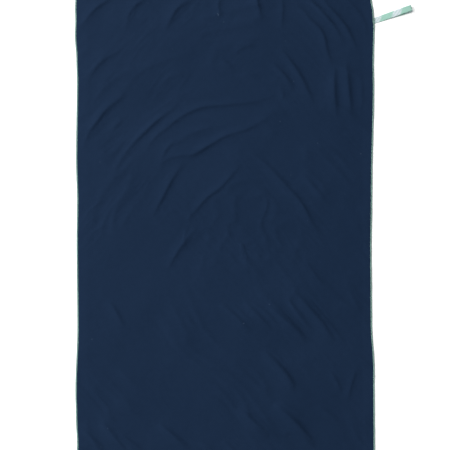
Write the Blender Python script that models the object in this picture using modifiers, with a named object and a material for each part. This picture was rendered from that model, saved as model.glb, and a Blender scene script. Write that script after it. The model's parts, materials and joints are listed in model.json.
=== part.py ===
"""Quick-dry travel towel, laid out flat.

One sheet of suede microfibre, a three-thread overlocked edge all round, a doubled tape hanging
loop that leaves one long side on a slant, and a folded blank care label at the foot end.

Metres, +Z up. The origin is the middle of the cloth's underside. +Y points to the head end and
+X to the long side that carries the loop. The loop and the label each swing on the line where
they leave the seam.
"""

import math

import bmesh
import bpy
from mathutils import Vector

# Overall sizes, measured over the edging.
TOWEL_WIDTH = 1.000
TOWEL_LENGTH = 1.800
CORNER_RADIUS = 0.020

# Cloth and edging.
CLOTH_THICKNESS = 0.0020
THREAD_THICKNESS = 0.0003
COVER_WIDTH = 0.0045
NEEDLE_THREAD_WIDTH = 0.0006
CLEARANCE = 0.0003

# Hanging loop: a tape doubled back on itself.
TAPE_THICKNESS = 0.0003
TAPE_WIDTH = 0.020
LOOP_LENGTH = 0.131
LOOP_FROM_HEAD = 0.209
LOOP_SLANT = math.radians(18.6)
LOOP_SQUARING = 0.030
LOOP_EYE_HEIGHT = 0.009
LOOP_SETTLING = 0.015
LOOP_SKEW = 0.0035

# Bar tack that ties the two layers of tape just outside the seam.
BAR_TACK_LENGTH = 0.016
BAR_TACK_WIDTH = 0.0020
BAR_TACK_THICKNESS = 0.0003

# Care label: one ribbon folded in half, its two ends in the seam.
LABEL_THICKNESS = 0.0006
LABEL_WIDTH = 0.025
LABEL_LENGTH = 0.035
LABEL_FROM_SIDE = 0.100

# Both swinging pieces clear the edging because they turn this far outside it.
HINGE_REACH = 0.006

# Facets.
CORNER_STEPS = 8
LAYER_STEPS = 14
EYE_STEPS = 8
ROUND_STEPS = 6
CUTTER_MARGIN = 0.002

# Heights in the seam, from the underside up: lower looper thread, tape ends, pressed cloth.
SEWN_THICKNESS = 2 * TAPE_THICKNESS
SEWN_BOTTOM = THREAD_THICKNESS + CLEARANCE
SEWN_TOP = SEWN_BOTTOM + SEWN_THICKNESS
PLY_BOTTOM = SEWN_TOP + CLEARANCE
EDGING_TOP = CLOTH_THICKNESS + CLEARANCE + THREAD_THICKNESS

# The hinge lines run just above the sewn ends, so a piece folds over on to them without touching.
HINGE_HEIGHT = SEWN_TOP + CLEARANCE / 2
HINGE_GAP = CLEARANCE / 2


def clear_scene():
    for obj in list(bpy.data.objects):
        bpy.data.objects.remove(obj)


def make_collection(name):
    collection = bpy.data.collections.new(name)
    bpy.context.scene.collection.children.link(collection)
    return collection


def make_material(name, colour, roughness):
    material = bpy.data.materials.new(name)
    material.use_nodes = True
    shader = material.node_tree.nodes["Principled BSDF"]
    shader.inputs["Base Color"].default_value = (*colour, 1.0)
    shader.inputs["Roughness"].default_value = roughness
    shader.inputs["Metallic"].default_value = 0.0
    return material


def add_object(name, data, collection, material=None):
    obj = bpy.data.objects.new(name, data)
    collection.objects.link(obj)
    if material:
        data.materials.append(material)
    return obj


def arc(centre, radius, start, stop, steps):
    """Points along a circular arc, both ends included, angles in radians."""
    turns = [start + (stop - start) * step / steps for step in range(steps + 1)]
    return [centre + radius * Vector((math.cos(turn), math.sin(turn))) for turn in turns]


def rounded_outline(inset):
    """The towel's outline, anticlockwise, moved in from the outside of the edging."""
    radius = CORNER_RADIUS - inset
    reach = Vector((TOWEL_WIDTH / 2 - CORNER_RADIUS, TOWEL_LENGTH / 2 - CORNER_RADIUS))
    points = []
    for corner, signs in enumerate(((1, 1), (-1, 1), (-1, -1), (1, -1))):
        centre = Vector((reach.x * signs[0], reach.y * signs[1]))
        start = corner * math.pi / 2
        points += arc(centre, radius, start, start + math.pi / 2, CORNER_STEPS)
    return points


def outline_curve(name, outlines, thickness, collection, material=None):
    """A flat outline, with any further outlines as holes, as thick as it is told."""
    curve = bpy.data.curves.new(name, "CURVE")
    curve.dimensions = "2D"
    curve.fill_mode = "BOTH"
    curve.extrude = thickness / 2
    for outline in outlines:
        spline = curve.splines.new("POLY")
        spline.points.add(len(outline) - 1)
        for point, place in zip(spline.points, outline):
            point.co = (place.x, place.y, 0.0, 1.0)
        spline.use_cyclic_u = True
    return add_object(name, curve, collection, material)


def as_mesh(obj, collection):
    """The curve object as a welded mesh object of the same name and place."""
    name = obj.name
    obj.name = name + ".outline"
    bpy.context.view_layer.update()
    evaluated = obj.evaluated_get(bpy.context.evaluated_depsgraph_get())
    mesh = bpy.data.meshes.new_from_object(evaluated)
    mesh.name = name
    edit = bmesh.new()
    edit.from_mesh(mesh)
    bmesh.ops.remove_doubles(edit, verts=edit.verts, dist=1e-6)
    bmesh.ops.recalc_face_normals(edit, faces=edit.faces)
    edit.to_mesh(mesh)
    edit.free()
    solid = add_object(name, mesh, collection)
    solid.matrix_world = obj.matrix_world.copy()
    bpy.data.objects.remove(obj)
    return solid


def plate(name, outlines, bottom, top, collection, material=None):
    """A flat plate between two heights."""
    curve = outline_curve(name, outlines, top - bottom, collection, material)
    curve.location.z = (bottom + top) / 2
    return as_mesh(curve, collection)


def cut(obj, cutter):
    modifier = obj.modifiers.new("cut_" + cutter.name, "BOOLEAN")
    modifier.operation = "DIFFERENCE"
    modifier.solver = "EXACT"
    modifier.object = cutter
    cutter.hide_render = True
    cutter.display_type = "WIRE"


def join(obj, other):
    modifier = obj.modifiers.new("join_" + other.name, "BOOLEAN")
    modifier.operation = "UNION"
    modifier.solver = "EXACT"
    modifier.object = other
    other.hide_render = True
    other.display_type = "WIRE"


def make_cloth(parts, cutters, material):
    edge = THREAD_THICKNESS + CLEARANCE
    cloth = plate("towel_cloth", [rounded_outline(edge)], 0.0, CLOTH_THICKNESS, parts, material)
    pressed = [rounded_outline(-CUTTER_MARGIN), rounded_outline(COVER_WIDTH + CLEARANCE)]
    cut(cloth, plate("pressed_margin", pressed, -CUTTER_MARGIN, PLY_BOTTOM, cutters))
    return cloth


def make_looper_cover(name, flange, wall, parts, cutters, material):
    """A thread cover of L section all round: a flat flange and a wall on the raw edge."""
    flange_rings = [rounded_outline(0.0), rounded_outline(COVER_WIDTH)]
    wall_rings = [rounded_outline(0.0), rounded_outline(THREAD_THICKNESS)]
    cover = plate(name, flange_rings, *flange, parts, material)
    join(cover, plate(name + ".wall", wall_rings, *wall, cutters))
    return cover


def make_edging(parts, cutters, material):
    middle = THREAD_THICKNESS / 2
    upper = make_looper_cover(
        "edging_upper_looper_thread",
        (EDGING_TOP - THREAD_THICKNESS, EDGING_TOP),
        (PLY_BOTTOM + CLEARANCE, EDGING_TOP - middle),
        parts,
        cutters,
        material,
    )
    lower = make_looper_cover(
        "edging_lower_looper_thread",
        (0.0, THREAD_THICKNESS),
        (middle, PLY_BOTTOM),
        parts,
        cutters,
        material,
    )
    inner = COVER_WIDTH + CLEARANCE
    needle_rings = [rounded_outline(inner), rounded_outline(inner + NEEDLE_THREAD_WIDTH)]
    needle_bottom = CLOTH_THICKNESS + CLEARANCE
    needle = plate(
        "edging_needle_thread", needle_rings, needle_bottom, EDGING_TOP, parts, material
    )
    return upper, lower, needle


def place_at_hinge(obj, hinge, outward):
    """Move a piece made with its hinge at the origin and its way out along +X."""
    obj.location.x = hinge.x
    obj.location.y = hinge.y
    obj.rotation_euler.z = outward


def make_notch(name, edging, hinge, outward, half_width, slant, cutters):
    """Open the lower looper's wall where sewn ends pass out through it."""
    reach = HINGE_REACH + THREAD_THICKNESS / 2
    drift = reach * math.tan(slant)
    half = half_width + THREAD_THICKNESS * math.tan(slant) + CLEARANCE
    inner = -HINGE_REACH - THREAD_THICKNESS - CLEARANCE
    outer = -HINGE_REACH + CLEARANCE
    outline = [
        Vector((inner, -drift - half)),
        Vector((outer, -drift - half)),
        Vector((outer, -drift + half)),
        Vector((inner, -drift + half)),
    ]
    notch = plate(name, [outline], THREAD_THICKNESS, PLY_BOTTOM + CUTTER_MARGIN, cutters)
    place_at_hinge(notch, hinge, outward)
    cut(edging, notch)


def make_sewn_ends(name, half_width, slant, thickness, parts, material):
    """The part of a tape or label held in the seam, up to just short of its hinge."""
    inner = -HINGE_REACH - COVER_WIDTH
    outer = -HINGE_GAP
    skew = math.tan(slant)
    outline = [
        Vector((inner, inner * skew - half_width)),
        Vector((outer, outer * skew - half_width)),
        Vector((outer, outer * skew + half_width)),
        Vector((inner, inner * skew + half_width)),
    ]
    return plate(name, [outline], SEWN_TOP - thickness, SEWN_TOP, parts, material)


def smooth(share):
    share = min(max(share, 0.0), 1.0)
    return share * share * (3 - 2 * share)


def lower_layer_height(along):
    """Middle of the tape's lower layer, which comes down on to the surface past the hinge."""
    rest = TAPE_THICKNESS / 2
    root = SEWN_TOP - TAPE_THICKNESS * 1.5 - CLEARANCE
    return root + (rest - root) * smooth(along / LOOP_SETTLING)


def upper_layer_height(along):
    """Middle of the tape's upper layer, which rises to the height of the eye."""
    root = SEWN_TOP - TAPE_THICKNESS / 2
    crown = TAPE_THICKNESS * 1.5 + LOOP_EYE_HEIGHT
    return root + (crown - root) * smooth(along / loop_straight())


def eye_radius():
    return (LOOP_EYE_HEIGHT + TAPE_THICKNESS) / 2


def loop_straight():
    """How far along the tape its rounded outer end starts."""
    return LOOP_LENGTH - TAPE_THICKNESS / 2 - eye_radius()


def loop_stations():
    """Distance along the tape and height, once round the loop from the hinge and back to it."""
    straight = loop_straight()
    root = HINGE_GAP + TAPE_THICKNESS / 2
    step_length = (straight - root) / LAYER_STEPS
    marks = [root + step_length * step for step in range(LAYER_STEPS + 1)]
    centre = Vector((straight, lower_layer_height(straight) + eye_radius()))
    eye = arc(centre, eye_radius(), -math.pi / 2, math.pi / 2, EYE_STEPS)
    lower = [Vector((mark, lower_layer_height(mark))) for mark in marks]
    upper = [Vector((mark, upper_layer_height(mark))) for mark in reversed(marks)]
    return lower + eye[1:-1] + upper


def tape_edge_point(station, side):
    """A point on one edge of the tape, with the hinge at the origin and the seam along Y.

    The ends of the cross lines run along the seam at the hinge and turn square to the tape
    farther out, and the lower layer slips a little sideways towards the eye.
    """
    along, height = station
    onward = Vector((math.cos(LOOP_SLANT), math.sin(LOOP_SLANT)))
    across = Vector((-onward.y, onward.x))
    slope = (1 - smooth(along / LOOP_SQUARING)) * math.tan(LOOP_SLANT)
    span = upper_layer_height(along) - lower_layer_height(along)
    below = 1 - (height - lower_layer_height(along)) / span
    slip = LOOP_SKEW * below * (along / LOOP_LENGTH) ** 2
    reach = side * TAPE_WIDTH / 2
    plan = onward * (along + reach * slope) + across * (reach - slip)
    return Vector((plan.x, plan.y, height))


def make_hanging_loop(parts, material):
    """The free tape as a closed ribbon, given its thickness by Solidify."""
    edit = bmesh.new()
    stations = loop_stations()
    ends = [edit.verts.new(tape_edge_point(stations[0], side)) for side in (-1, 1)]
    edge = edit.edges.new(ends)
    first = edge
    for station in stations[1:]:
        grown = bmesh.ops.extrude_edge_only(edit, edges=[edge])["geom"]
        edge = next(item for item in grown if isinstance(item, bmesh.types.BMEdge))
        sides = sorted(edge.verts, key=lambda vert: vert.co.y)
        for vert, side in zip(sides, (-1, 1)):
            vert.co = tape_edge_point(station, side)
    bmesh.ops.bridge_loops(edit, edges=[first, edge])
    bmesh.ops.recalc_face_normals(edit, faces=edit.faces)
    mesh = bpy.data.meshes.new("hanging_loop")
    edit.to_mesh(mesh)
    edit.free()
    loop = add_object("hanging_loop", mesh, parts, material)
    thickness = loop.modifiers.new("tape_thickness", "SOLIDIFY")
    thickness.thickness = TAPE_THICKNESS
    thickness.offset = 0.0
    thickness.use_even_offset = True
    mesh.shade_smooth()
    mesh.set_sharp_from_angle(angle=math.radians(40))
    return loop


def make_bar_tack(parts, material):
    """A dense block of thread across the doubled tape, next to the edging."""
    inner = -HINGE_REACH + CLEARANCE
    outer = inner + BAR_TACK_WIDTH
    half = BAR_TACK_LENGTH / 2
    drift = math.tan(LOOP_SLANT)
    outline = [
        Vector((inner, inner * drift - half)),
        Vector((outer, outer * drift - half)),
        Vector((outer, outer * drift + half)),
        Vector((inner, inner * drift + half)),
    ]
    bottom = SEWN_TOP + CLEARANCE
    top = bottom + BAR_TACK_THICKNESS
    return plate("loop_bar_tack", [outline], bottom, top, parts, material)


def make_label_flap(parts, material):
    """The folded label outside the seam, square at its hinge and round at its fold."""
    radius = LABEL_THICKNESS / 2
    outline = [Vector((HINGE_GAP, radius)), Vector((HINGE_GAP, -radius))]
    fold = Vector((LABEL_LENGTH - radius, 0.0))
    outline += arc(fold, radius, -math.pi / 2, math.pi / 2, ROUND_STEPS)
    flap = outline_curve("care_label_flap", [outline], LABEL_WIDTH, parts, material)
    flap.rotation_euler.x = math.pi / 2
    return as_mesh(flap, parts)


def make_loop_pieces(parts, cutters, lower_looper, tape, thread):
    hinge = Vector((TOWEL_WIDTH / 2 + HINGE_REACH, TOWEL_LENGTH / 2 - LOOP_FROM_HEAD))
    half = TAPE_WIDTH / 2 / math.cos(LOOP_SLANT)
    sewn = make_sewn_ends("loop_tape_sewn_ends", half, LOOP_SLANT, SEWN_THICKNESS, parts, tape)
    for piece in (sewn, make_hanging_loop(parts, tape), make_bar_tack(parts, thread)):
        place_at_hinge(piece, hinge, 0.0)
    make_notch("loop_notch", lower_looper, hinge, 0.0, half, LOOP_SLANT, cutters)


def make_label_pieces(parts, cutters, lower_looper, ribbon):
    hinge = Vector((-TOWEL_WIDTH / 2 + LABEL_FROM_SIDE, -TOWEL_LENGTH / 2 - HINGE_REACH))
    outward = -math.pi / 2
    half = LABEL_WIDTH / 2
    sewn = make_sewn_ends("care_label_sewn_ends", half, 0.0, LABEL_THICKNESS, parts, ribbon)
    place_at_hinge(sewn, hinge, outward)
    flap = make_label_flap(parts, ribbon)
    flap.location.z = SEWN_TOP - LABEL_THICKNESS / 2
    place_at_hinge(flap, hinge, outward)
    make_notch("label_notch", lower_looper, hinge, outward, half, 0.0, cutters)


def build():
    clear_scene()
    parts = make_collection("quick_dry_towel")
    cutters = make_collection("cutters")
    microfibre = make_material("navy_suede_microfibre", (0.013, 0.028, 0.055), 0.95)
    thread = make_material("mint_edging_thread", (0.45, 0.72, 0.62), 0.7)
    tape = make_material("mint_woven_tape", (0.50, 0.76, 0.66), 0.6)
    ribbon = make_material("white_satin_ribbon", (0.80, 0.82, 0.82), 0.4)
    make_cloth(parts, cutters, microfibre)
    edging = make_edging(parts, cutters, thread)
    lower_looper = edging[1]
    make_loop_pieces(parts, cutters, lower_looper, tape, thread)
    make_label_pieces(parts, cutters, lower_looper, ribbon)


build()
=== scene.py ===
"""The looks of a quick-dry travel towel, spread out on a plain pale floor.

Everything is in metres. The cloth is made flat, finer where it creases, and then laid: one rule
moves every point of the cloth and of its edging from the flat towel to where it lies.
"""

import json
import math

import bmesh
import bpy
import numpy as np
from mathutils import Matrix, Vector


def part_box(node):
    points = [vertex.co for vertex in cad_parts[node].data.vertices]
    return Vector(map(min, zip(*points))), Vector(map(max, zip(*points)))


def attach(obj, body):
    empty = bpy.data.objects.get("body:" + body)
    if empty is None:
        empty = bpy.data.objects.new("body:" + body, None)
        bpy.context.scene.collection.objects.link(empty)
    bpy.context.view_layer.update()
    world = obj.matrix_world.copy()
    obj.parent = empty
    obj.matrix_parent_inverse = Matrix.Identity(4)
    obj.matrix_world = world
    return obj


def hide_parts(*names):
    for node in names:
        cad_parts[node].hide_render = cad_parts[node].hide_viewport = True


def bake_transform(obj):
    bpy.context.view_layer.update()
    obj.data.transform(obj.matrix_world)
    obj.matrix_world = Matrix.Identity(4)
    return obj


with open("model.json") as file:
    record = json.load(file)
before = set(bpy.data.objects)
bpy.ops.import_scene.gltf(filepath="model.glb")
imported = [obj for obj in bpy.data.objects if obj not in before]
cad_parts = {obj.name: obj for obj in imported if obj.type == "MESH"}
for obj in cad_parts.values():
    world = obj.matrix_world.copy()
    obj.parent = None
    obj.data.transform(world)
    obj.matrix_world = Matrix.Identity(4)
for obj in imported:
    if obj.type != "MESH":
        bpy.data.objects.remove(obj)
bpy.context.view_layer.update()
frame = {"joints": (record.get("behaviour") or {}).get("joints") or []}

# Places and sizes that come from the frame.
CLOTH_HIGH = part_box("towel_cloth")[1]
SEWN_LOW, SEWN_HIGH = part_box("loop_tape_sewn_ends")
LOOP_LOW, LOOP_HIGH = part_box("hanging_loop")
TACK_LOW, TACK_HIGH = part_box("loop_bar_tack")
LABEL_LOW, LABEL_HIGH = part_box("care_label_flap")
LABEL_SEWN_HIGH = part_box("care_label_sewn_ends")[1]
JOINTS = {joint["name"]: joint for joint in frame["joints"]}
LOOP_HINGE = Vector(JOINTS["loop_swing"]["pos_m"])
LABEL_HINGE = Vector(JOINTS["label_swing"]["pos_m"])

HALF_WIDTH = CLOTH_HIGH.x
HALF_LENGTH = CLOTH_HIGH.y
CORNER_RADIUS = 0.0194
INNER_X = HALF_WIDTH - CORNER_RADIUS
INNER_Y = HALF_LENGTH - CORNER_RADIUS

# The gap that the CAD leaves between its nodes.
CAD_GAP = 0.0003

# The sheet, and the squares that it is made of.
CLOTH_THICKNESS = 0.0007
COARSE_STEP = 0.0136
CORNER_REACH = 0.03
NEARLY_STRAIGHT = 3.1

# How it lies: higher at its hem, and calmer near its edges, where a share of its relief is left.
CLOTH_REST = 0.0009
FLOOR_GAP = 0.00005
FLOOR_SOFTNESS = 0.0004
HEM_LIFT = 0.0004
HEM_WIDTH = 0.012
CALM_WIDTH = 0.09
EDGE_HILLS = 0.45
EDGE_CREASES = 0.35

# Each crease has a long side and a steep side, as multiples of its width.
CREST_OFFSET = 0.45
LONG_SIDE = 1.50
STEEP_SIDE = 0.65
CREST_SHARPNESS = 1.5
CREASE_TAPER = 0.95
CREASE_REACH = 6
CREASE_STEPS = 8

# Fine folds, in patches: rings round one place, and slanting lines below it.
FOLD_HEIGHT = 0.0022
FOLD_SHARPNESS = 3
RING_MIDDLE = (0.06, -0.10)
RING_SPACING = 0.034
RING_BREAKS = 2.6
SLANT_WAY = (0.70, 0.72)
SLANT_SPACING = 0.038
SLANT_LENGTH = 0.15
SLANTS_BELOW = -0.05
SLANTS_BLEND = 0.15
WANDER = 0.9
WANDER_SPACING = 0.19
PATCH_SPACING = 0.15
PATCH_COVER = 0.60
PATCH_SOFTNESS = 0.9

# Hills of caught air, and puckers along the stitching.
BROAD_RISE = 0.0010
BROAD_SPACING = 0.21
SMALL_RISE = 0.0006
SMALL_SPACING = 0.083
PUCKER_HEIGHT = 0.0007
PUCKER_SPACING = 0.024
PUCKER_STRETCH = 0.25
PUCKER_REACH = 0.055
HEM_HOLD = 0.6

# Shifts that keep one pattern from following another.
PATCH_SHIFT = 3.1
HILL_SHIFT = 7.7
PUCKER_SHIFT = 5.3

# The rise over the tape and label ends in the seam.
LOOP_ENDS_RISE = 0.0007
LABEL_ENDS_RISE = 0.0006
ENDS_FLAT = 0.007
ENDS_SLOPE = 0.016
ENDS_STRETCH = 0.6

# Overlocking.
STITCH_PITCH = 0.0024
STITCH_WIDTH = 0.0042
THREAD_RADIUS = 0.00030
NEEDLE_THREAD_RADIUS = THREAD_RADIUS * 0.8

# Hanging loop tape and its bar tack.
TAPE_THICKNESS = 0.00034
TAPE_WIDTH = 0.020
LOOP_SLANT = math.radians(18.6)
LOOP_SKEW = 0.0035
LOOP_SETTLING = 0.018
LOOP_SQUARING = 0.030
LOOP_TURN_STEPS = 14
BAR_TACK_SHIFT = 0.0052
BAR_TACK_STITCHES = 34
BAR_TACK_RADIUS = 0.00022

# Care label: how far its two layers lie under the top of its sewn ends, and how it sags and puffs.
LABEL_THICKNESS = 0.00016
LABEL_LOWER_DEPTH = 0.00050
LABEL_UPPER_DEPTH = 0.00010
LABEL_END_GAP = 0.0008
LABEL_SAG = 0.00035
LABEL_PUFF = 0.0010
LABEL_TURN_STEPS = 6

# Steps along a ribbon, fine near its bend.
PLAIN_STEP = 0.003
BEND_STEP = 0.0010
BEND_REACH = 0.009

# Colours, linear.
DEEP_NAVY = (0.0033, 0.0115, 0.0302)
BRUSHED_NAVY = (0.0124, 0.0284, 0.0654)
LINT = (0.030, 0.052, 0.092)
THREAD_SHADE = (0.27, 0.53, 0.44)
THREAD_MINT = (0.50, 0.76, 0.67)
# The next colour is painted shade, for the troughs of the tape's ribs.
TAPE_RIB_TROUGH_SHADE = (0.27, 0.50, 0.41)
TAPE_MINT = (0.37, 0.62, 0.53)
TAPE_LILAC = (0.63, 0.69, 0.74)
RIBBON_SHADE = (0.56, 0.60, 0.62)
RIBBON_WHITE = (0.70, 0.73, 0.74)
FLOOR_SHADE = (0.93, 0.93, 0.93)
FLOOR_WHITE = (0.96, 0.96, 0.96)

# The camera's width of view on the floor, and its lens and sensor in millimetres.
VIEW_WIDTH = 1.5225
LENS = 50.0
SENSOR = 36.0

# Floor, backdrop and light.
FLOOR_REACH = 30.0
BACKDROP_RADIUS = 29.0
BACKDROP_FOOT = -0.1
BACKDROP_STEPS = 96
WORLD_STRENGTH = 0.46
KEY_PLACE = Vector((-7.0, 2.0, 4.2))
KEY_SIZE = 4.6
KEY_ENERGY = 1050.0


# ---------------------------------------------------------------- laying the cloth

def eased(share):
    """A smooth rise from 0 to 1."""
    share = np.clip(share, 0.0, 1.0)
    return share * share * (3 - 2 * share)


def eased_through(places, stations):
    """Smooth values at places, through (place, value) stations with a level stop at each."""
    values = np.full(len(places), stations[0][1], float)
    for (start, before), (stop, after) in zip(stations, stations[1:]):
        rise = before + (after - before) * eased((places - start) / (stop - start))
        values = np.where(places >= start, rise, values)
    return values


# How far each edge strays from straight, + towards +X or +Y, at places along it from low to high.
LEFT_EDGE = (
    (-0.90, -0.003), (-0.74, -0.001), (-0.66, -0.0045), (-0.56, -0.0065), (-0.35, 0.0),
    (-0.05, -0.0025), (0.085, -0.001), (0.22, -0.0045), (0.49, -0.0015), (0.56, -0.0034),
    (0.642, -0.0082), (0.69, -0.0069), (0.73, -0.0078), (0.78, -0.0066), (0.90, -0.003),
)
RIGHT_EDGE = (
    (-0.90, 0.003), (-0.75, 0.0075), (-0.49, 0.0065), (-0.33, -0.002), (-0.10, -0.0036),
    (0.15, -0.001), (0.46, 0.005), (0.56, 0.0042), (0.64, 0.0062), (0.668, 0.0068), (0.692, 0.0046),
    (0.72, 0.0030), (0.76, -0.003), (0.90, -0.002),
)
FOOT_EDGE = ((-0.50, 0.004), (-0.30, -0.002), (-0.08, 0.003), (0.16, -0.003), (0.34, 0.002), (0.50, -0.002))
HEAD_EDGE = ((-0.50, -0.002), (-0.26, 0.003), (-0.02, -0.003), (0.20, 0.002), (0.36, -0.004), (0.50, 0.001))

# Creases: the line of each one's steep side, its height and its width.
CREASES = (
    # long arcs across the upper middle
    (((-0.480, 0.235), (-0.457, 0.300), (-0.423, 0.352), (-0.389, 0.394), (-0.332, 0.440)), 0.0044, 0.012),
    (((-0.335, 0.225), (-0.301, 0.273), (-0.254, 0.322), (-0.213, 0.360), (-0.155, 0.404)), 0.0038, 0.011),
    (((-0.240, 0.285), (-0.200, 0.318), (-0.146, 0.362), (-0.078, 0.394), (0.000, 0.403), (0.100, 0.413),
      (0.173, 0.432)), 0.0046, 0.011),
    (((-0.208, 0.222), (-0.186, 0.262), (-0.155, 0.295)), 0.0014, 0.010),
    (((-0.220, 0.180), (-0.195, 0.215), (-0.150, 0.230), (-0.100, 0.236), (-0.048, 0.268), (0.010, 0.300),
      (0.075, 0.320), (0.150, 0.360)), 0.0048, 0.012),
    (((-0.242, 0.020), (-0.206, 0.091), (-0.173, 0.152), (-0.128, 0.215)), 0.0038, 0.012),
    (((-0.135, 0.000), (-0.091, 0.051), (-0.054, 0.092), (-0.010, 0.125), (0.030, 0.169), (0.060, 0.206)),
     0.0038, 0.012),
    (((-0.215, 0.205), (-0.200, 0.243), (-0.168, 0.272), (-0.128, 0.286)), 0.0011, 0.009),
    (((-0.262, 0.250), (-0.232, 0.292), (-0.190, 0.330)), 0.0014, 0.009),
    (((-0.192, -0.158), (-0.152, -0.091), (-0.118, -0.044), (-0.085, -0.010)), 0.0034, 0.012),
    (((-0.130, 0.290), (-0.085, 0.316), (-0.035, 0.330)), 0.0014, 0.011),
    (((-0.380, 0.318), (-0.338, 0.357)), 0.0014, 0.010),
    (((-0.468, 0.462), (-0.443, 0.512), (-0.400, 0.558), (-0.330, 0.594)), 0.0024, 0.011),
    (((-0.425, 0.448), (-0.385, 0.500), (-0.330, 0.530)), 0.0013, 0.013),
    (((-0.300, 0.500), (-0.240, 0.535), (-0.150, 0.566)), 0.0015, 0.012),
    (((-0.235, 0.455), (-0.190, 0.490), (-0.125, 0.515)), 0.0013, 0.012),
    # arcs down towards the right
    (((0.060, 0.256), (0.110, 0.236), (0.152, 0.200), (0.217, 0.130), (0.262, 0.078), (0.300, 0.010),
      (0.340, -0.056)), 0.0036, 0.012),
    (((0.182, 0.612), (0.240, 0.531), (0.274, 0.470), (0.304, 0.400)), 0.0042, 0.013),
    (((0.158, 0.553), (0.200, 0.510), (0.236, 0.460)), 0.0040, 0.013),
    (((0.180, 0.470), (0.198, 0.440), (0.190, 0.415)), 0.0016, 0.010),
    (((0.264, 0.180), (0.310, 0.128), (0.350, 0.080)), 0.0022, 0.011),
    (((0.138, 0.118), (0.147, 0.062), (0.118, -0.008)), 0.0018, 0.010),
    (((0.045, -0.030), (0.078, -0.100), (0.084, -0.178)), 0.0014, 0.011),
    (((0.150, -0.085), (0.205, -0.150), (0.258, -0.215)), 0.0016, 0.011),
    (((0.274, -0.108), (0.310, -0.165), (0.345, -0.218)), 0.0018, 0.011),
    (((0.030, 0.575), (0.060, 0.596), (0.105, 0.606)), 0.0022, 0.011),
    (((-0.020, 0.566), (0.006, 0.552), (0.034, 0.530)), 0.0020, 0.010),
    (((0.045, 0.508), (0.080, 0.514), (0.120, 0.505)), 0.0020, 0.011),
    # strong short folds low on the right
    (((0.238, -0.216), (0.296, -0.282), (0.340, -0.334), (0.376, -0.392)), 0.0074, 0.017),
    (((0.148, -0.262), (0.186, -0.294), (0.240, -0.345), (0.284, -0.386)), 0.0064, 0.016),
    (((-0.020, -0.256), (0.035, -0.300), (0.092, -0.358)), 0.0036, 0.012),
    (((0.066, -0.252), (0.115, -0.300), (0.164, -0.350)), 0.0038, 0.012),
    (((0.130, -0.416), (0.185, -0.472), (0.226, -0.524), (0.236, -0.560)), 0.0070, 0.017),
    (((0.170, -0.596), (0.230, -0.652), (0.272, -0.700), (0.306, -0.745)), 0.0074, 0.017),
    (((0.045, -0.612), (0.095, -0.655), (0.150, -0.708)), 0.0060, 0.014),
    (((0.086, -0.250), (0.142, -0.292), (0.196, -0.352)), 0.0022, 0.009),
    (((0.198, -0.232), (0.250, -0.288), (0.300, -0.352)), 0.0022, 0.009),
    (((0.256, -0.205), (0.318, -0.282), (0.378, -0.356), (0.414, -0.412)), 0.0026, 0.010),
    (((0.028, -0.262), (0.064, -0.298), (0.108, -0.335)), 0.0018, 0.009),
    (((0.176, -0.586), (0.205, -0.604), (0.258, -0.640)), 0.0020, 0.009),
    (((0.092, -0.640), (0.130, -0.665), (0.186, -0.722)), 0.0022, 0.009),
    (((0.310, -0.605), (0.360, -0.645), (0.412, -0.678)), 0.0026, 0.014),
    (((0.352, -0.490), (0.378, -0.530), (0.392, -0.570)), 0.0022, 0.010),
    (((0.412, -0.600), (0.424, -0.545), (0.446, -0.478)), 0.0024, 0.010),
    (((0.450, -0.445), (0.470, -0.460), (0.488, -0.480)), 0.0018, 0.009),
    # head end
    (((-0.487, 0.650), (-0.455, 0.700), (-0.415, 0.738), (-0.350, 0.775)), 0.0046, 0.013),
    (((-0.327, 0.660), (-0.312, 0.715), (-0.275, 0.750), (-0.210, 0.785)), 0.0028, 0.011),
    (((-0.200, 0.650), (-0.179, 0.687), (-0.146, 0.734), (-0.085, 0.766)), 0.0040, 0.013),
    (((-0.008, 0.700), (-0.014, 0.740), (-0.004, 0.780)), 0.0024, 0.010),
    (((0.116, 0.820), (0.118, 0.755), (0.128, 0.690)), 0.0038, 0.012),
    (((0.205, 0.790), (0.200, 0.727), (0.190, 0.655)), 0.0022, 0.010),
    (((0.235, 0.760), (0.284, 0.705), (0.328, 0.655), (0.345, 0.595), (0.366, 0.530)), 0.0038, 0.011),
    (((0.275, 0.800), (0.310, 0.750), (0.355, 0.694), (0.409, 0.612)), 0.0042, 0.011),
    (((0.330, 0.785), (0.358, 0.740), (0.403, 0.680), (0.450, 0.588)), 0.0042, 0.011),
    (((0.415, 0.775), (0.450, 0.725), (0.470, 0.690), (0.475, 0.630)), 0.0026, 0.010),
    (((0.374, 0.545), (0.371, 0.460), (0.380, 0.365)), 0.0050, 0.015),
    (((0.412, 0.560), (0.420, 0.460), (0.432, 0.365)), 0.0052, 0.016),
    (((0.458, 0.520), (0.464, 0.430), (0.460, 0.370)), 0.0022, 0.011),
    (((-0.190, 0.835), (-0.060, 0.858), (0.080, 0.852)), 0.0026, 0.014),
    # foot end
    (((-0.222, -0.664), (-0.170, -0.710), (-0.112, -0.760)), 0.0054, 0.013),
    (((-0.490, -0.678), (-0.450, -0.716), (-0.405, -0.755)), 0.0040, 0.011),
    (((-0.410, -0.664), (-0.378, -0.702), (-0.330, -0.762)), 0.0044, 0.011),
    (((-0.362, -0.694), (-0.320, -0.725), (-0.268, -0.762)), 0.0038, 0.011),
    (((-0.090, -0.728), (-0.050, -0.756), (-0.010, -0.790)), 0.0024, 0.010),
    (((-0.008, -0.725), (0.020, -0.750), (0.050, -0.785)), 0.0024, 0.010),
    (((-0.398, -0.255), (-0.370, -0.280), (-0.335, -0.345)), 0.0032, 0.012),
    (((-0.140, -0.290), (-0.110, -0.325), (-0.085, -0.350)), 0.0016, 0.010),
    (((0.250, -0.780), (0.310, -0.820), (0.360, -0.862)), 0.0034, 0.013),
    (((-0.160, -0.815), (-0.060, -0.842), (0.060, -0.846)), 0.0026, 0.013),
)


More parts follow.
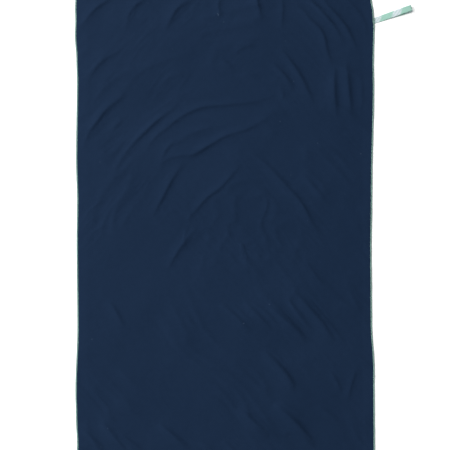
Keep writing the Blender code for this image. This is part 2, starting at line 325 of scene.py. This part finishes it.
def smooth_line(points):
    """Points along a Catmull-Rom curve through the given ones."""
    points = [np.array(point) for point in points]
    ends = [2 * points[0] - points[1], *points, 2 * points[-1] - points[-2]]
    line = []
    for before, start, stop, after in zip(ends, ends[1:], ends[2:], ends[3:]):
        for step in range(CREASE_STEPS):
            t = step / CREASE_STEPS
            square = 2 * before - 5 * start + 4 * stop - after
            cube = 3 * start - before - 3 * stop + after
            line.append(0.5 * (2 * start + (stop - before) * t + square * t * t + cube * t ** 3))
    line.append(ends[-2])
    return np.array(line)


def beside_line(places, line):
    """For each place its distance from the line, + to its right, and its share of the way along."""
    starts, runs = line[:-1], np.diff(line, axis=0)
    lengths = np.linalg.norm(runs, axis=1)
    travelled = np.concatenate([[0.0], np.cumsum(lengths)])
    best = np.full(len(places), np.inf)
    side = np.zeros(len(places))
    share = np.zeros(len(places))
    for start, run, length, before in zip(starts, runs, lengths, travelled):
        away = places - start
        along = np.clip(away @ run / length ** 2, 0.0, 1.0)
        offset = away - along[:, None] * run
        distance = np.linalg.norm(offset, axis=1)
        nearer = distance < best
        right = np.sign(away[:, 0] * run[1] - away[:, 1] * run[0])
        best = np.where(nearer, distance, best)
        side = np.where(nearer, right, side)
        share = np.where(nearer, (before + along * length) / travelled[-1], share)
    return best * side, share


def crease_height(places, crease):
    """One crease: a long slope on its left, a short steep one on its right."""
    points, height, width = crease
    line = smooth_line(points if points[0][1] < points[-1][1] else points[::-1])
    reach = CREASE_REACH * width
    near = np.all((places > line.min(0) - reach) & (places < line.max(0) + reach), axis=1)
    heights = np.zeros(len(places))
    across, along = beside_line(places[near], line)
    across = across + CREST_OFFSET * width
    flank = np.where(across > 0, STEEP_SIDE, LONG_SIDE) * width
    taper = np.sin(np.pi * np.clip(along, 0.0, 1.0)) ** CREASE_TAPER
    heights[near] = height * taper * np.exp(-np.abs(across / flank) ** CREST_SHARPNESS)
    return heights


def creases_height(places):
    return sum(crease_height(places, crease) for crease in CREASES)


def scatter(column, row):
    """A fixed value from 0 to 1 for each whole column and row, with no pattern to it."""
    return np.modf(np.abs(np.sin(column * 12.9898 + row * 78.233) * 43758.5453))[0]


def rolling(places, hills):
    """Smooth hills and hollows from -1 to 1, about as far apart as hills says."""
    cells = places / hills
    corner = np.floor(cells)
    part = eased(cells - corner)
    column, row = corner[:, 0], corner[:, 1]
    low = scatter(column, row) * (1 - part[:, 0]) + scatter(column + 1, row) * part[:, 0]
    high = scatter(column, row + 1) * (1 - part[:, 0]) + scatter(column + 1, row + 1) * part[:, 0]
    return 2 * (low * (1 - part[:, 1]) + high * part[:, 1]) - 1


def fine_folds(places):
    """Low sharp folds that come and go: rings round the middle above it, slanting lines below it."""
    away = places - RING_MIDDLE
    turn = np.arctan2(away[:, 1], away[:, 0])
    wander = WANDER * rolling(places, WANDER_SPACING)
    rings = np.column_stack([np.hypot(*away.T) / RING_SPACING + wander, turn * RING_BREAKS])
    over = away[:, 0] * SLANT_WAY[0] + away[:, 1] * SLANT_WAY[1]
    down = away[:, 0] * SLANT_WAY[1] - away[:, 1] * SLANT_WAY[0]
    slants = np.column_stack([over / SLANT_SPACING + wander, down / SLANT_LENGTH])
    lower = eased((SLANTS_BELOW - places[:, 1]) / SLANTS_BLEND)
    ring_crests = (1 - np.abs(rolling(rings, 1.0))) ** FOLD_SHARPNESS
    slant_crests = (1 - np.abs(rolling(slants, 1.0))) ** FOLD_SHARPNESS
    patches = eased((rolling(places + PATCH_SHIFT, PATCH_SPACING) + PATCH_COVER) / PATCH_SOFTNESS)
    return FOLD_HEIGHT * patches * (ring_crests * (1 - lower) + slant_crests * lower)


def unevenness(places):
    """The cloth's slow rise and fall over the air caught under it."""
    broad = BROAD_RISE * rolling(places, BROAD_SPACING)
    small = SMALL_RISE * rolling(places + HILL_SHIFT, SMALL_SPACING)
    return broad + small


def puckers(places):
    """Short ripples where the stitching gathers the edge."""
    side = HALF_WIDTH - np.abs(places[:, 0])
    end = HALF_LENGTH - np.abs(places[:, 1])
    along = np.where(side < end, places[:, 1], places[:, 0])
    inward = np.minimum(side, end)
    ripples = rolling(np.column_stack([along + PUCKER_SHIFT, inward * PUCKER_STRETCH]), PUCKER_SPACING)
    return PUCKER_HEIGHT * (1 + ripples) * (1 - eased(inward / PUCKER_REACH))


def edge_distance(places):
    """How far each flat place is in from the nearest edge."""
    return np.minimum(HALF_WIDTH - np.abs(places[:, 0]), HALF_LENGTH - np.abs(places[:, 1]))


def room_for_ends(places):
    """How far the cloth rises over the tape and label ends held under its edging."""
    middle = (SEWN_LOW.y + SEWN_HIGH.y) / 2
    over_loop = np.hypot(places[:, 0] - SEWN_LOW.x, ENDS_STRETCH * (places[:, 1] - middle))
    over_label = np.hypot(ENDS_STRETCH * (places[:, 0] - LABEL_HINGE.x), places[:, 1] - LABEL_SEWN_HIGH.y)
    loop_rise = LOOP_ENDS_RISE * (1 - eased((over_loop - ENDS_FLAT) / ENDS_SLOPE))
    label_rise = LABEL_ENDS_RISE * (1 - eased((over_label - ENDS_FLAT) / ENDS_SLOPE))
    return loop_rise + label_rise


def laid(points):
    """Where points of the flat towel lie. Their third value is the height above the cloth's middle."""
    points = np.asarray(points, float)
    places = points[:, :2]
    across = (places[:, 0] + HALF_WIDTH) / (2 * HALF_WIDTH)
    upward = (places[:, 1] + HALF_LENGTH) / (2 * HALF_LENGTH)
    left = eased_through(places[:, 1], LEFT_EDGE)
    right = eased_through(places[:, 1], RIGHT_EDGE)
    foot = eased_through(places[:, 0], FOOT_EDGE)
    head = eased_through(places[:, 0], HEAD_EDGE)
    x = places[:, 0] + left * (1 - across) + right * across
    y = places[:, 1] + foot * (1 - upward) ** 3 + head * upward ** 3
    calm = eased(edge_distance(places) / CALM_WIDTH)
    ground = CLOTH_REST + unevenness(places) * (EDGE_HILLS + (1 - EDGE_HILLS) * calm)
    hem = 1 - eased(edge_distance(places) / HEM_WIDTH)
    floor = CLOTH_THICKNESS / 2 + FLOOR_GAP + HEM_LIFT * hem
    spare = (ground - floor) / FLOOR_SOFTNESS
    ground = floor + FLOOR_SOFTNESS * np.logaddexp(0.0, spare)
    folds = (creases_height(places) + fine_folds(places)) * (EDGE_CREASES + (1 - EDGE_CREASES) * calm)
    gathers = puckers(places) * (1 - hem * HEM_HOLD)
    z = ground + folds + gathers + room_for_ends(places)
    return np.column_stack([x, y, z + points[:, 2]])


# ---------------------------------------------------------------- materials

class Maths:
    """A socket whose arithmetic adds Math nodes to its material."""

    def __init__(self, material, socket):
        self.material = material
        self.socket = socket

    def _with(self, operation, *others):
        values = [self.socket] + [getattr(other, "socket", other) for other in others]
        node = self.material.node("ShaderNodeMath", {"operation": operation}, dict(enumerate(values)))
        return Maths(self.material, node.outputs[0])

    def __add__(self, other):
        return self._with("ADD", other)

    def __radd__(self, other):
        return self + other

    def __sub__(self, other):
        return self._with("SUBTRACT", other)

    def __rsub__(self, other):
        return (self * -1.0) + other

    def __mul__(self, other):
        return self._with("MULTIPLY", other)

    def __rmul__(self, other):
        return self * other

    def sine(self):
        return self._with("SINE")

    def size(self):
        return self._with("ABSOLUTE")

    def above(self, level, softness):
        """0 below level and 1 above it, with a ramp of the given softness."""
        return (self - level)._with("DIVIDE", softness)._with("MAXIMUM", 0.0)._with("MINIMUM", 1.0)


class Finish:
    """A material with one Principled shader, and one way to add any other node."""

    def __init__(self, name, **settings):
        self.material = bpy.data.materials.new(name)
        self.material.use_nodes = True
        self.tree = self.material.node_tree
        self.shader = self.tree.nodes["Principled BSDF"]
        for socket, value in settings.items():
            self.shader.inputs[socket.replace("_", " ")].default_value = value

    def node(self, kind, settings=None, inputs=None):
        node = self.tree.nodes.new(kind)
        for name, value in (settings or {}).items():
            setattr(node, name, value)
        for key, value in (inputs or {}).items():
            self.feed(node.inputs[key], value)
        return node

    def feed(self, socket, value):
        value = getattr(value, "socket", value)
        if isinstance(value, bpy.types.NodeSocket):
            self.tree.links.new(value, socket)
        else:
            socket.default_value = value

    def place(self, scale=(1.0, 1.0, 1.0), turn=0.0):
        """Object coordinates, turned about Z and then stretched."""
        where = self.node("ShaderNodeTexCoord").outputs["Object"]
        turned = self.node("ShaderNodeMapping", {}, {"Vector": where, "Rotation": (0.0, 0.0, turn)})
        stretched = self.node("ShaderNodeMapping", {}, {"Vector": turned.outputs["Vector"], "Scale": scale})
        return stretched.outputs["Vector"]

    def noise(self, vector, scale, detail, roughness=0.5):
        inputs = {"Vector": vector, "Scale": scale, "Detail": detail, "Roughness": roughness}
        return Maths(self, self.node("ShaderNodeTexNoise", {}, inputs).outputs["Fac"])

    def split(self, vector):
        """The X and Y of a vector."""
        parts = self.node("ShaderNodeSeparateXYZ", {}, {"Vector": vector})
        return Maths(self, parts.outputs["X"]), Maths(self, parts.outputs["Y"])

    def on_ribbon(self):
        """A ribbon's own map: metres across it from its middle, and metres along it."""
        return self.node("ShaderNodeUVMap", {"uv_map": "along_tape"}).outputs["UV"]

    def blended(self, share, first, second):
        """A colour between two, by share."""
        inputs = {0: share, 6: colour(first), 7: colour(second)}
        mix = self.node("ShaderNodeMix", {"data_type": "RGBA"}, inputs)
        return mix.outputs[2]

    def paint(self, socket, value):
        self.feed(self.shader.inputs[socket], value)

    def bump(self, height, strength, distance):
        inputs = {"Height": height, "Strength": strength, "Distance": distance}
        bump = self.node("ShaderNodeBump", {}, inputs)
        self.paint("Normal", bump.outputs["Normal"])


def colour(value):
    return value if isinstance(value, bpy.types.NodeSocket) else (*value, 1.0)


def suede_microfibre():
    """Navy microfibre with a short brushed nap: matt and faintly mottled, with lint, fine wrinkles and
    painted light in lighter bands along its left and right edges.
    """
    finish = Finish(
        "navy_suede_microfibre", Roughness=0.85, Sheen_Weight=0.09, Sheen_Roughness=0.35,
        Sheen_Tint=(0.26, 0.42, 0.8, 1.0), Specular_IOR_Level=0.06,
    )
    brushed = finish.noise(finish.place((1.0, 0.45, 1.0), turn=0.6), scale=6.0, detail=4.0, roughness=0.6)
    mottle = finish.noise(finish.place(), scale=60.0, detail=4.0, roughness=0.65)
    nap = finish.noise(finish.place((1.0, 0.55, 1.0), turn=0.3), scale=1500.0, detail=2.0, roughness=0.6)
    fibres = finish.noise(finish.place((1.0, 0.4, 1.0), turn=0.3), scale=5200.0, detail=2.0, roughness=0.6)
    x, y = finish.split(finish.place())
    # Painted light: bands along the left and right edges are painted lighter than the rest of the cloth.
    hem = x.size().above(0.462, softness=0.008)
    tone = brushed * 0.40 + mottle * 0.25 + nap * 0.2 + fibres * 0.15 + hem * 0.06
    cloth = finish.blended(tone, DEEP_NAVY, BRUSHED_NAVY)
    lint = finish.noise(finish.place(), scale=110.0, detail=0.0).above(0.886, softness=0.012)
    finish.paint("Base Color", finish.blended(lint, cloth, LINT))
    rising = finish.noise(finish.place((1.0, 0.25, 1.0), turn=0.75), scale=30.0, detail=1.0)
    rising = (rising - 0.5).size()
    falling = finish.noise(finish.place((1.0, 0.25, 1.0), turn=-0.75), scale=30.0, detail=1.0)
    falling = (falling - 0.5).size()
    upper_left = (y - x * 1.5).above(0.2, softness=0.4)
    tugged = finish.noise(finish.place(), scale=5.5, detail=1.0).above(0.46, softness=0.18)
    wrinkles = (rising * upper_left + falling * (1 - upper_left)) * (tugged * 0.8 + 0.2)
    relief = fibres * 0.14 + nap * 0.08 + mottle * 0.20 - wrinkles * 3.3
    finish.bump(relief, strength=1.0, distance=0.0009)
    return finish.material


def edging_thread():
    """Soft crimped overlocking thread in pale mint."""
    finish = Finish("mint_overlock_thread", Roughness=0.75, Sheen_Weight=0.2, Specular_IOR_Level=0.3)
    shade = finish.noise(finish.place(), scale=420.0, detail=2.0)
    finish.paint("Base Color", finish.blended(shade, THREAD_SHADE, THREAD_MINT))
    fibres = finish.noise(finish.place(), scale=2600.0, detail=2.0, roughness=0.6)
    finish.bump(fibres, strength=0.5, distance=0.0003)
    return finish.material


def woven_tape():
    """Mint tape with long pale-lilac areas crossed by slanting strokes, and fine ribs both ways, with
    painted shade in the troughs of the ribs.

    Its patterns are waves, in radians to the metre of tape.
    """
    finish = Finish("mint_and_lilac_tape", Roughness=0.6, Sheen_Weight=0.1, Specular_IOR_Level=0.3)
    across, along = finish.split(finish.on_ribbon())
    areas = (along * 88.0 + across * 60.0 + 2.73).sine().above(-0.1, softness=0.7)
    strokes = (along * 430.0 + across * 560.0).sine().above(0.25, softness=0.35)
    lilac = areas * (1 - strokes * 0.5)
    ribs = (along * 7000.0).sine() * 0.5 + (across * 9000.0).sine() * 0.3
    # Painted shade: the mint is painted darker in the troughs of the ribs, following the rib bump.
    mint = finish.blended(ribs * 0.3 + 0.5, TAPE_RIB_TROUGH_SHADE, TAPE_MINT)
    finish.paint("Base Color", finish.blended(lilac, mint, TAPE_LILAC))
    finish.bump(ribs, strength=0.5, distance=0.00015)
    return finish.material


def satin_label():
    """Blank white satin ribbon with fine ribs across it."""
    finish = Finish("white_satin_ribbon", Roughness=0.38, Sheen_Weight=0.1, Specular_IOR_Level=0.45)
    _, along = finish.split(finish.on_ribbon())
    ribs = (along * 9000.0).sine()
    worn = finish.noise(finish.place(), scale=160.0, detail=3.0)
    finish.paint("Base Color", finish.blended(worn, RIBBON_SHADE, RIBBON_WHITE))
    finish.bump(ribs * 0.4 + worn * 0.6, strength=0.3, distance=0.0001)
    return finish.material


def pale_floor():
    """A pale matt floor with a faint glow of its own."""
    finish = Finish("pale_floor", Roughness=0.9, Specular_IOR_Level=0.0, Emission_Strength=0.30)
    finish.paint("Emission Color", (1.0, 1.0, 1.0, 1.0))
    grain = finish.noise(finish.place(), scale=3.0, detail=2.0)
    finish.paint("Base Color", finish.blended(grain, FLOOR_SHADE, FLOOR_WHITE))
    return finish.material


# ---------------------------------------------------------------- pieces

def new_piece(name, edit, material, smooth=True):
    """The bmesh as an object at the origin."""
    mesh = bpy.data.meshes.new(name)
    edit.to_mesh(mesh)
    edit.free()
    if smooth:
        mesh.shade_smooth()
    piece = bpy.data.objects.new(name, mesh)
    bpy.context.scene.collection.objects.link(piece)
    mesh.materials.append(material)
    return piece


def round_corner(x, y):
    """Pull a point of the square-cornered sheet in so that the sheet's corners are round."""
    out_x = (abs(x) - INNER_X) / CORNER_RADIUS
    out_y = (abs(y) - INNER_Y) / CORNER_RADIUS
    if out_x <= 0 or out_y <= 0:
        return x, y
    pull = max(out_x, out_y) / math.hypot(out_x, out_y) * CORNER_RADIUS
    return math.copysign(INNER_X + out_x * pull, x), math.copysign(INNER_Y + out_y * pull, y)


def refine(edit, wanted):
    """Split the faces whose middles are wanted into four, and so leave points on their neighbours' sides."""
    middles = np.array([face.calc_center_median()[:2] for face in edit.faces])
    chosen = wanted(middles)
    edges = {edge for face, keep in zip(edit.faces, chosen) if keep for edge in face.edges}
    bmesh.ops.subdivide_edges(edit, edges=list(edges), cuts=1, use_grid_fill=True)


def fan_out(edit):
    """Fan every face that has a point along one of its sides, so that none of them can fold there."""
    uneven = [
        face for face in edit.faces
        if any(loop.calc_angle() > NEARLY_STRAIGHT for loop in face.loops)
    ]
    bmesh.ops.poke(edit, faces=uneven)


def make_cloth(material):
    """The sheet in 13.6 mm squares, halved near its edges and in its folds and creases, and halved
    again at its corners and in the higher creases."""
    edit = bmesh.new()
    across = round(2 * HALF_WIDTH / COARSE_STEP)
    along = round(2 * HALF_LENGTH / COARSE_STEP)
    bmesh.ops.create_grid(edit, x_segments=across, y_segments=along, size=1.0)
    for vert in edit.verts:
        vert.co.x *= HALF_WIDTH
        vert.co.y *= HALF_LENGTH

    def busy(creased, folded, rim):
        def wanted(middles):
            corner_start = (HALF_WIDTH - CORNER_REACH, HALF_LENGTH - CORNER_REACH)
            corner = np.all(corner_start < np.abs(middles), axis=1)
            near_edge = edge_distance(middles) < rim
            folds = fine_folds(middles) > folded
            return (creases_height(middles) > creased) | folds | near_edge | corner
        return wanted

    refine(edit, busy(creased=0.00015, folded=0.0008, rim=0.02))
    refine(edit, busy(creased=0.00080, folded=math.inf, rim=0.0))
    fan_out(edit)
    for vert in edit.verts:
        vert.co.x, vert.co.y = round_corner(vert.co.x, vert.co.y)
    places = laid([vert.co[:] for vert in edit.verts])
    for vert, place in zip(edit.verts, places):
        vert.co = place
    cloth = new_piece("towel_cloth_sheet", edit, material)
    thickness = cloth.modifiers.new("cloth_thickness", "SOLIDIFY")
    thickness.thickness = CLOTH_THICKNESS
    thickness.offset = 0.0
    return cloth


def edge_runs():
    """The straights and round corners passed once round the raw edge. Each is its kind, the number of
    its corner, its length, and the signs of X and Y at that corner."""
    turn = CORNER_RADIUS * math.pi / 2
    runs = []
    for corner, (sx, sy) in enumerate(((1, 1), (-1, 1), (-1, -1), (1, -1))):
        straight = 2 * INNER_Y if corner % 2 == 0 else 2 * INNER_X
        runs.append(("straight", corner, straight, sx, sy))
        runs.append(("corner", corner, turn, sx, sy))
    return runs


def edge_frame(distance, runs):
    """The flat place on the raw edge at this distance round it, and the way out from there."""
    for kind, corner, length, sx, sy in runs:
        if distance <= length:
            break
        distance -= length
    start = corner * math.pi / 2
    centre = Vector((sx * INNER_X, sy * INNER_Y))
    heading = start + (distance / CORNER_RADIUS if kind == "corner" else 0.0)
    out = Vector((math.cos(heading), math.sin(heading)))
    place = centre + out * CORNER_RADIUS
    if kind == "straight":
        place += Vector((out.y, -out.x)) * (length - distance)
    return place, out


def thread_round_edge(name, pattern, radius, material):
    """One thread all round the edge. pattern gives, for each point of one stitch, its share of the
    pitch, its distance in from the raw edge, and its height above the cloth's middle."""
    runs = edge_runs()
    total = sum(run[2] for run in runs)
    stitches = round(total / STITCH_PITCH)
    pitch = total / stitches
    points = []
    for stitch in range(stitches):
        for share, inward, height in pattern:
            place, out = edge_frame(((stitch + share) * pitch) % total, runs)
            flat = place - out * inward
            points.append((flat.x, flat.y, height))
    curve = bpy.data.curves.new(name, "CURVE")
    curve.dimensions = "3D"
    curve.bevel_depth = radius
    curve.bevel_resolution = 0
    spline = curve.splines.new("POLY")
    spline.points.add(len(points) - 1)
    spline.points.foreach_set("co", np.column_stack([laid(points), np.ones(len(points))]).ravel())
    spline.use_cyclic_u = True
    return curve_piece(name, curve, material)


def curve_piece(name, curve, material):
    """A bevelled curve made into a mesh piece."""
    guide = bpy.data.objects.new(name + "_guide", curve)
    bpy.context.scene.collection.objects.link(guide)
    bpy.context.view_layer.update()
    mesh = bpy.data.meshes.new_from_object(guide.evaluated_get(bpy.context.evaluated_depsgraph_get()))
    bpy.data.objects.remove(guide)
    edit = bmesh.new()
    edit.from_mesh(mesh)
    bmesh.ops.remove_doubles(edit, verts=edit.verts, dist=1e-7)
    bmesh.ops.recalc_face_normals(edit, faces=edit.faces)
    return new_piece(name, edit, material)


def make_edging(material):
    """Three-thread overlocking: the loopers cross over and under the edge, and the needle thread
    catches them along their inner line."""
    half = CLOTH_THICKNESS / 2
    top = half + THREAD_RADIUS
    needle_line = STITCH_WIDTH
    upper = (
        (0.00, -0.00025, 0.0001),
        (0.06, 0.0006, top + 0.0001),
        (0.38, needle_line - 0.0004, top + 0.00005),
        (0.50, needle_line, top - 0.0001),
        (0.62, needle_line - 0.0004, top + 0.00015),
        (0.94, 0.0006, top + 0.0002),
    )
    lower = (
        (0.00, -0.00035, 0.0),
        (0.10, 0.0006, -top),
        (0.45, needle_line - 0.0006, -top),
        (0.55, needle_line - 0.0006, -top),
        (0.90, 0.0006, -top),
    )
    needle = (
        (0.00, needle_line + 0.0001, -top + 0.0001),
        (0.12, needle_line + 0.0001, top + 0.0001),
        (0.50, needle_line + 0.00015, top + 0.00025),
        (0.88, needle_line + 0.0001, top + 0.0001),
    )
    pieces = []
    for name, pattern, node, radius in (
        ("overlock_upper_looper", upper, "edging_upper_looper_thread", THREAD_RADIUS),
        ("overlock_lower_looper", lower, "edging_lower_looper_thread", THREAD_RADIUS),
        ("overlock_needle_thread", needle, "edging_needle_thread", NEEDLE_THREAD_RADIUS),
    ):
        thread = thread_round_edge(name, pattern, radius, material)
        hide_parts(node)
        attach(thread, "towel")
        pieces.append(thread)
    return pieces


def ribbon(name, stations, edge_point, across_steps, thickness, material):
    """A flat tape through stations along its length, its raw ends in the seam.

    stations are (distance along the whole tape, further values), and edge_point places a point
    of the tape from one station and a side from -1 to 1.
    """
    edit = bmesh.new()
    bmesh.ops.create_grid(edit, x_segments=across_steps, y_segments=len(stations) - 1, size=1.0)
    layer = edit.loops.layers.uv.new("along_tape")
    spots = {}
    for vert in edit.verts:
        index = round((vert.co.y + 1) / 2 * (len(stations) - 1))
        spots[vert] = (vert.co.x, stations[index])
    for vert, (side, station) in spots.items():
        vert.co = edge_point(station, side)
    for face in edit.faces:
        for loop in face.loops:
            side, station = spots[loop.vert]
            loop[layer].uv = (side * TAPE_WIDTH / 2, station[0])
    bmesh.ops.recalc_face_normals(edit, faces=edit.faces)
    bmesh.ops.solidify(edit, geom=edit.faces[:], thickness=thickness)
    return new_piece(name, edit, material)


def loop_straight():
    """How far past the hinge the two layers run before they turn into each other."""
    corner = TAPE_WIDTH / 2 * math.sin(LOOP_SLANT)
    return (LOOP_HIGH.x - LOOP_HINGE.x - corner) / math.cos(LOOP_SLANT) - (LOOP_HIGH.z - LOOP_LOW.z) / 2


def layer_heights(along):
    """Heights of the lower and upper layers of tape, this far past the hinge."""
    seam = SEWN_HIGH.z
    # In the seam the layers lie against each other, and past it the lower one just clears the floor.
    lower_root = seam - TAPE_THICKNESS * 1.6
    lower = lower_root + (TAPE_THICKNESS * 0.6 - lower_root) * float(eased(along / LOOP_SETTLING))
    crown = LOOP_HIGH.z - TAPE_THICKNESS / 2
    upper_root = seam - TAPE_THICKNESS * 0.5
    upper = upper_root + (crown - upper_root) * float(eased(along / loop_straight()))
    return lower, upper


def spaced(start, stop):
    """Places from start to stop, closer together near the hinge at 0."""
    marks = [start]
    while marks[-1] < stop - 1.5 * PLAIN_STEP:
        marks.append(marks[-1] + (BEND_STEP if abs(marks[-1]) < BEND_REACH else PLAIN_STEP))
    return marks + [stop]


def loop_stations():
    """(distance along the tape, distance out from the hinge, height, share of the way up)."""
    straight = loop_straight()
    inner = (SEWN_LOW.x - LOOP_HINGE.x) / math.cos(LOOP_SLANT)
    marks = spaced(inner, straight)
    lower, upper = layer_heights(straight)
    radius = (upper - lower) / 2
    stations = [(mark - inner, mark, layer_heights(mark)[0], 0.0) for mark in marks]
    length = straight - inner
    for turn in range(1, LOOP_TURN_STEPS):
        angle = math.pi * turn / LOOP_TURN_STEPS
        out = straight + radius * math.sin(angle)
        height = (lower + upper) / 2 - radius * math.cos(angle)
        stations.append((length + radius * angle, out, height, turn / LOOP_TURN_STEPS))
    length += math.pi * radius
    for mark in reversed(marks):
        stations.append((length + straight - mark, mark, layer_heights(mark)[1], 1.0))
    return stations


def loop_point(station, side):
    """A point of the tape. The lines across it lie along the hinge at its root, and turn square to the
    tape further out."""
    _, along, height, up = station
    onward = Vector((math.cos(LOOP_SLANT), math.sin(LOOP_SLANT)))
    sideways = Vector((-onward.y, onward.x))
    slope = (1 - float(eased(along / LOOP_SQUARING))) * math.tan(LOOP_SLANT)
    slip = LOOP_SKEW * (1 - up) * max(along / loop_straight(), 0.0) ** 1.5
    reach = side * TAPE_WIDTH / 2
    plan = onward * (along + reach * slope) + sideways * (reach - slip)
    return Vector((LOOP_HINGE.x + plan.x, LOOP_HINGE.y + plan.y, height))


def make_loop(material):
    tape = ribbon(
        "hanging_loop_tape", loop_stations(), loop_point, across_steps=8,
        thickness=TAPE_THICKNESS, material=material,
    )
    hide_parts("hanging_loop", "loop_tape_sewn_ends")
    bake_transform(tape)


def make_bar_tack(material):
    """Dense zigzag stitches across the doubled tape just outside the edging."""
    width = TACK_HIGH.x - TACK_LOW.x
    root = TACK_LOW.x + BAR_TACK_SHIFT
    drift = width * math.tan(LOOP_SLANT)
    length = TACK_HIGH.y - TACK_LOW.y - drift
    turns = BAR_TACK_STITCHES
    lift = TACK_LOW.z - CAD_GAP + BAR_TACK_RADIUS
    points = []
    for turn in range(turns + 1):
        side = turn % 2
        place = TACK_LOW.y + length * turn / turns + side * drift
        points.append((root + side * width, place, lift + 0.00015 * math.sin(turn * 1.7)))
        middle = root + (0.5 + (0.5 - side) * 0.2) * width
        points.append((middle, place + length / turns / 2, lift + 0.0003))
    curve = bpy.data.curves.new("loop_bar_tack_stitches", "CURVE")
    curve.dimensions = "3D"
    curve.bevel_depth = BAR_TACK_RADIUS
    curve.bevel_resolution = 1
    curve.use_fill_caps = True
    spline = curve.splines.new("POLY")
    spline.points.add(len(points) - 1)
    for point, place in zip(spline.points, points):
        point.co = (*place, 1.0)
    tack = curve_piece("loop_bar_tack_stitches", curve, material)
    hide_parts("loop_bar_tack")
    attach(tack, "towel")


def label_stations():
    """The folded label: out along its lower layer, round the fold, and back along the upper."""
    inner = LABEL_HINGE.y - LABEL_SEWN_HIGH.y
    outer = LABEL_HINGE.y - LABEL_LOW.y - LABEL_END_GAP
    low = LABEL_SEWN_HIGH.z - LABEL_LOWER_DEPTH
    high = LABEL_SEWN_HIGH.z - LABEL_UPPER_DEPTH
    marks = spaced(inner, outer)

    def sag(mark):
        return LABEL_SAG * float(eased(mark / outer))

    def puff(mark):
        return LABEL_PUFF * math.sin(math.pi * min(max(mark / outer, 0.0), 1.0)) ** 2

    stations = [(mark - inner, mark, low - sag(mark)) for mark in marks]
    length = outer - inner
    radius = (high - low) / 2
    for turn in range(1, LABEL_TURN_STEPS):
        angle = math.pi * turn / LABEL_TURN_STEPS
        height = (low + high) / 2 - radius * math.cos(angle) - sag(outer)
        stations.append((length + radius * angle, outer + radius * math.sin(angle), height))
    length += math.pi * radius
    stations += [(length + outer - mark, mark, high - sag(mark) + puff(mark)) for mark in reversed(marks)]
    return stations


def label_point(station, side):
    _, along, height = station
    half = (LABEL_HIGH.x - LABEL_LOW.x) / 2
    return Vector((LABEL_HINGE.x + side * half, LABEL_HINGE.y - along, height))


def make_label(material):
    label = ribbon(
        "care_label_ribbon", label_stations(), label_point, across_steps=6,
        thickness=LABEL_THICKNESS, material=material,
    )
    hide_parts("care_label_flap", "care_label_sewn_ends")
    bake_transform(label)


# ---------------------------------------------------------------- setting

def make_floor():
    edit = bmesh.new()
    bmesh.ops.create_grid(edit, x_segments=1, y_segments=1, size=FLOOR_REACH)
    floor = new_piece("floor", edit, pale_floor(), smooth=False)


def make_backdrop():
    """A round pale wall at the floor's rim. It is only seen, and neither lights nor shades the towel."""
    finish = Finish("pale_backdrop", Roughness=1.0, Specular_IOR_Level=0.0, Emission_Strength=0.745)
    finish.paint("Emission Color", (1.0, 1.0, 1.0, 1.0))
    finish.paint("Base Color", (0.0, 0.0, 0.0, 1.0))
    edit = bmesh.new()
    foot = edit.verts.new((BACKDROP_RADIUS, 0.0, BACKDROP_FOOT))
    head = edit.verts.new((BACKDROP_RADIUS, 0.0, BACKDROP_RADIUS))
    edge = edit.edges.new((foot, head))
    bmesh.ops.spin(
        edit, geom=[foot, head, edge], cent=(0, 0, 0), axis=(0, 0, 1), angle=math.tau,
        steps=BACKDROP_STEPS, use_merge=True,
    )
    backdrop = new_piece("backdrop", edit, finish.material)
    backdrop.visible_diffuse = False
    backdrop.visible_glossy = False
    backdrop.visible_transmission = False
    backdrop.visible_shadow = False


def make_light():
    """A large soft lamp low on the left, and even light from all round."""
    world = bpy.data.worlds.new("studio")
    world.use_nodes = True
    background = world.node_tree.nodes["Background"]
    background.inputs["Color"].default_value = (1.0, 1.0, 1.0, 1.0)
    background.inputs["Strength"].default_value = WORLD_STRENGTH
    bpy.context.scene.world = world
    lamp = bpy.data.lights.new("soft_key", "AREA")
    lamp.shape = "DISK"
    lamp.size = KEY_SIZE
    lamp.energy = KEY_ENERGY
    key = bpy.data.objects.new("soft_key", lamp)
    bpy.context.scene.collection.objects.link(key)
    key.location = KEY_PLACE
    key.rotation_mode = "QUATERNION"
    key.rotation_quaternion = key.location.to_track_quat("Z", "Y")


def make_camera():
    """Straight above the middle of the towel."""
    data = bpy.data.cameras.new("camera")
    data.lens = LENS
    data.sensor_width = SENSOR
    camera = bpy.data.objects.new("camera", data)
    bpy.context.scene.collection.objects.link(camera)
    camera.location = (0.0, 0.0, VIEW_WIDTH * LENS / SENSOR)
    bpy.context.scene.camera = camera
    bpy.context.scene.view_settings.view_transform = "Standard"


make_camera()
make_light()
make_floor()
make_backdrop()
thread = edging_thread()
cloth = make_cloth(suede_microfibre())
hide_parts("towel_cloth")
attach(cloth, "towel")
edging = make_edging(thread)
make_loop(woven_tape())
make_bar_tack(thread)
make_label(satin_label())
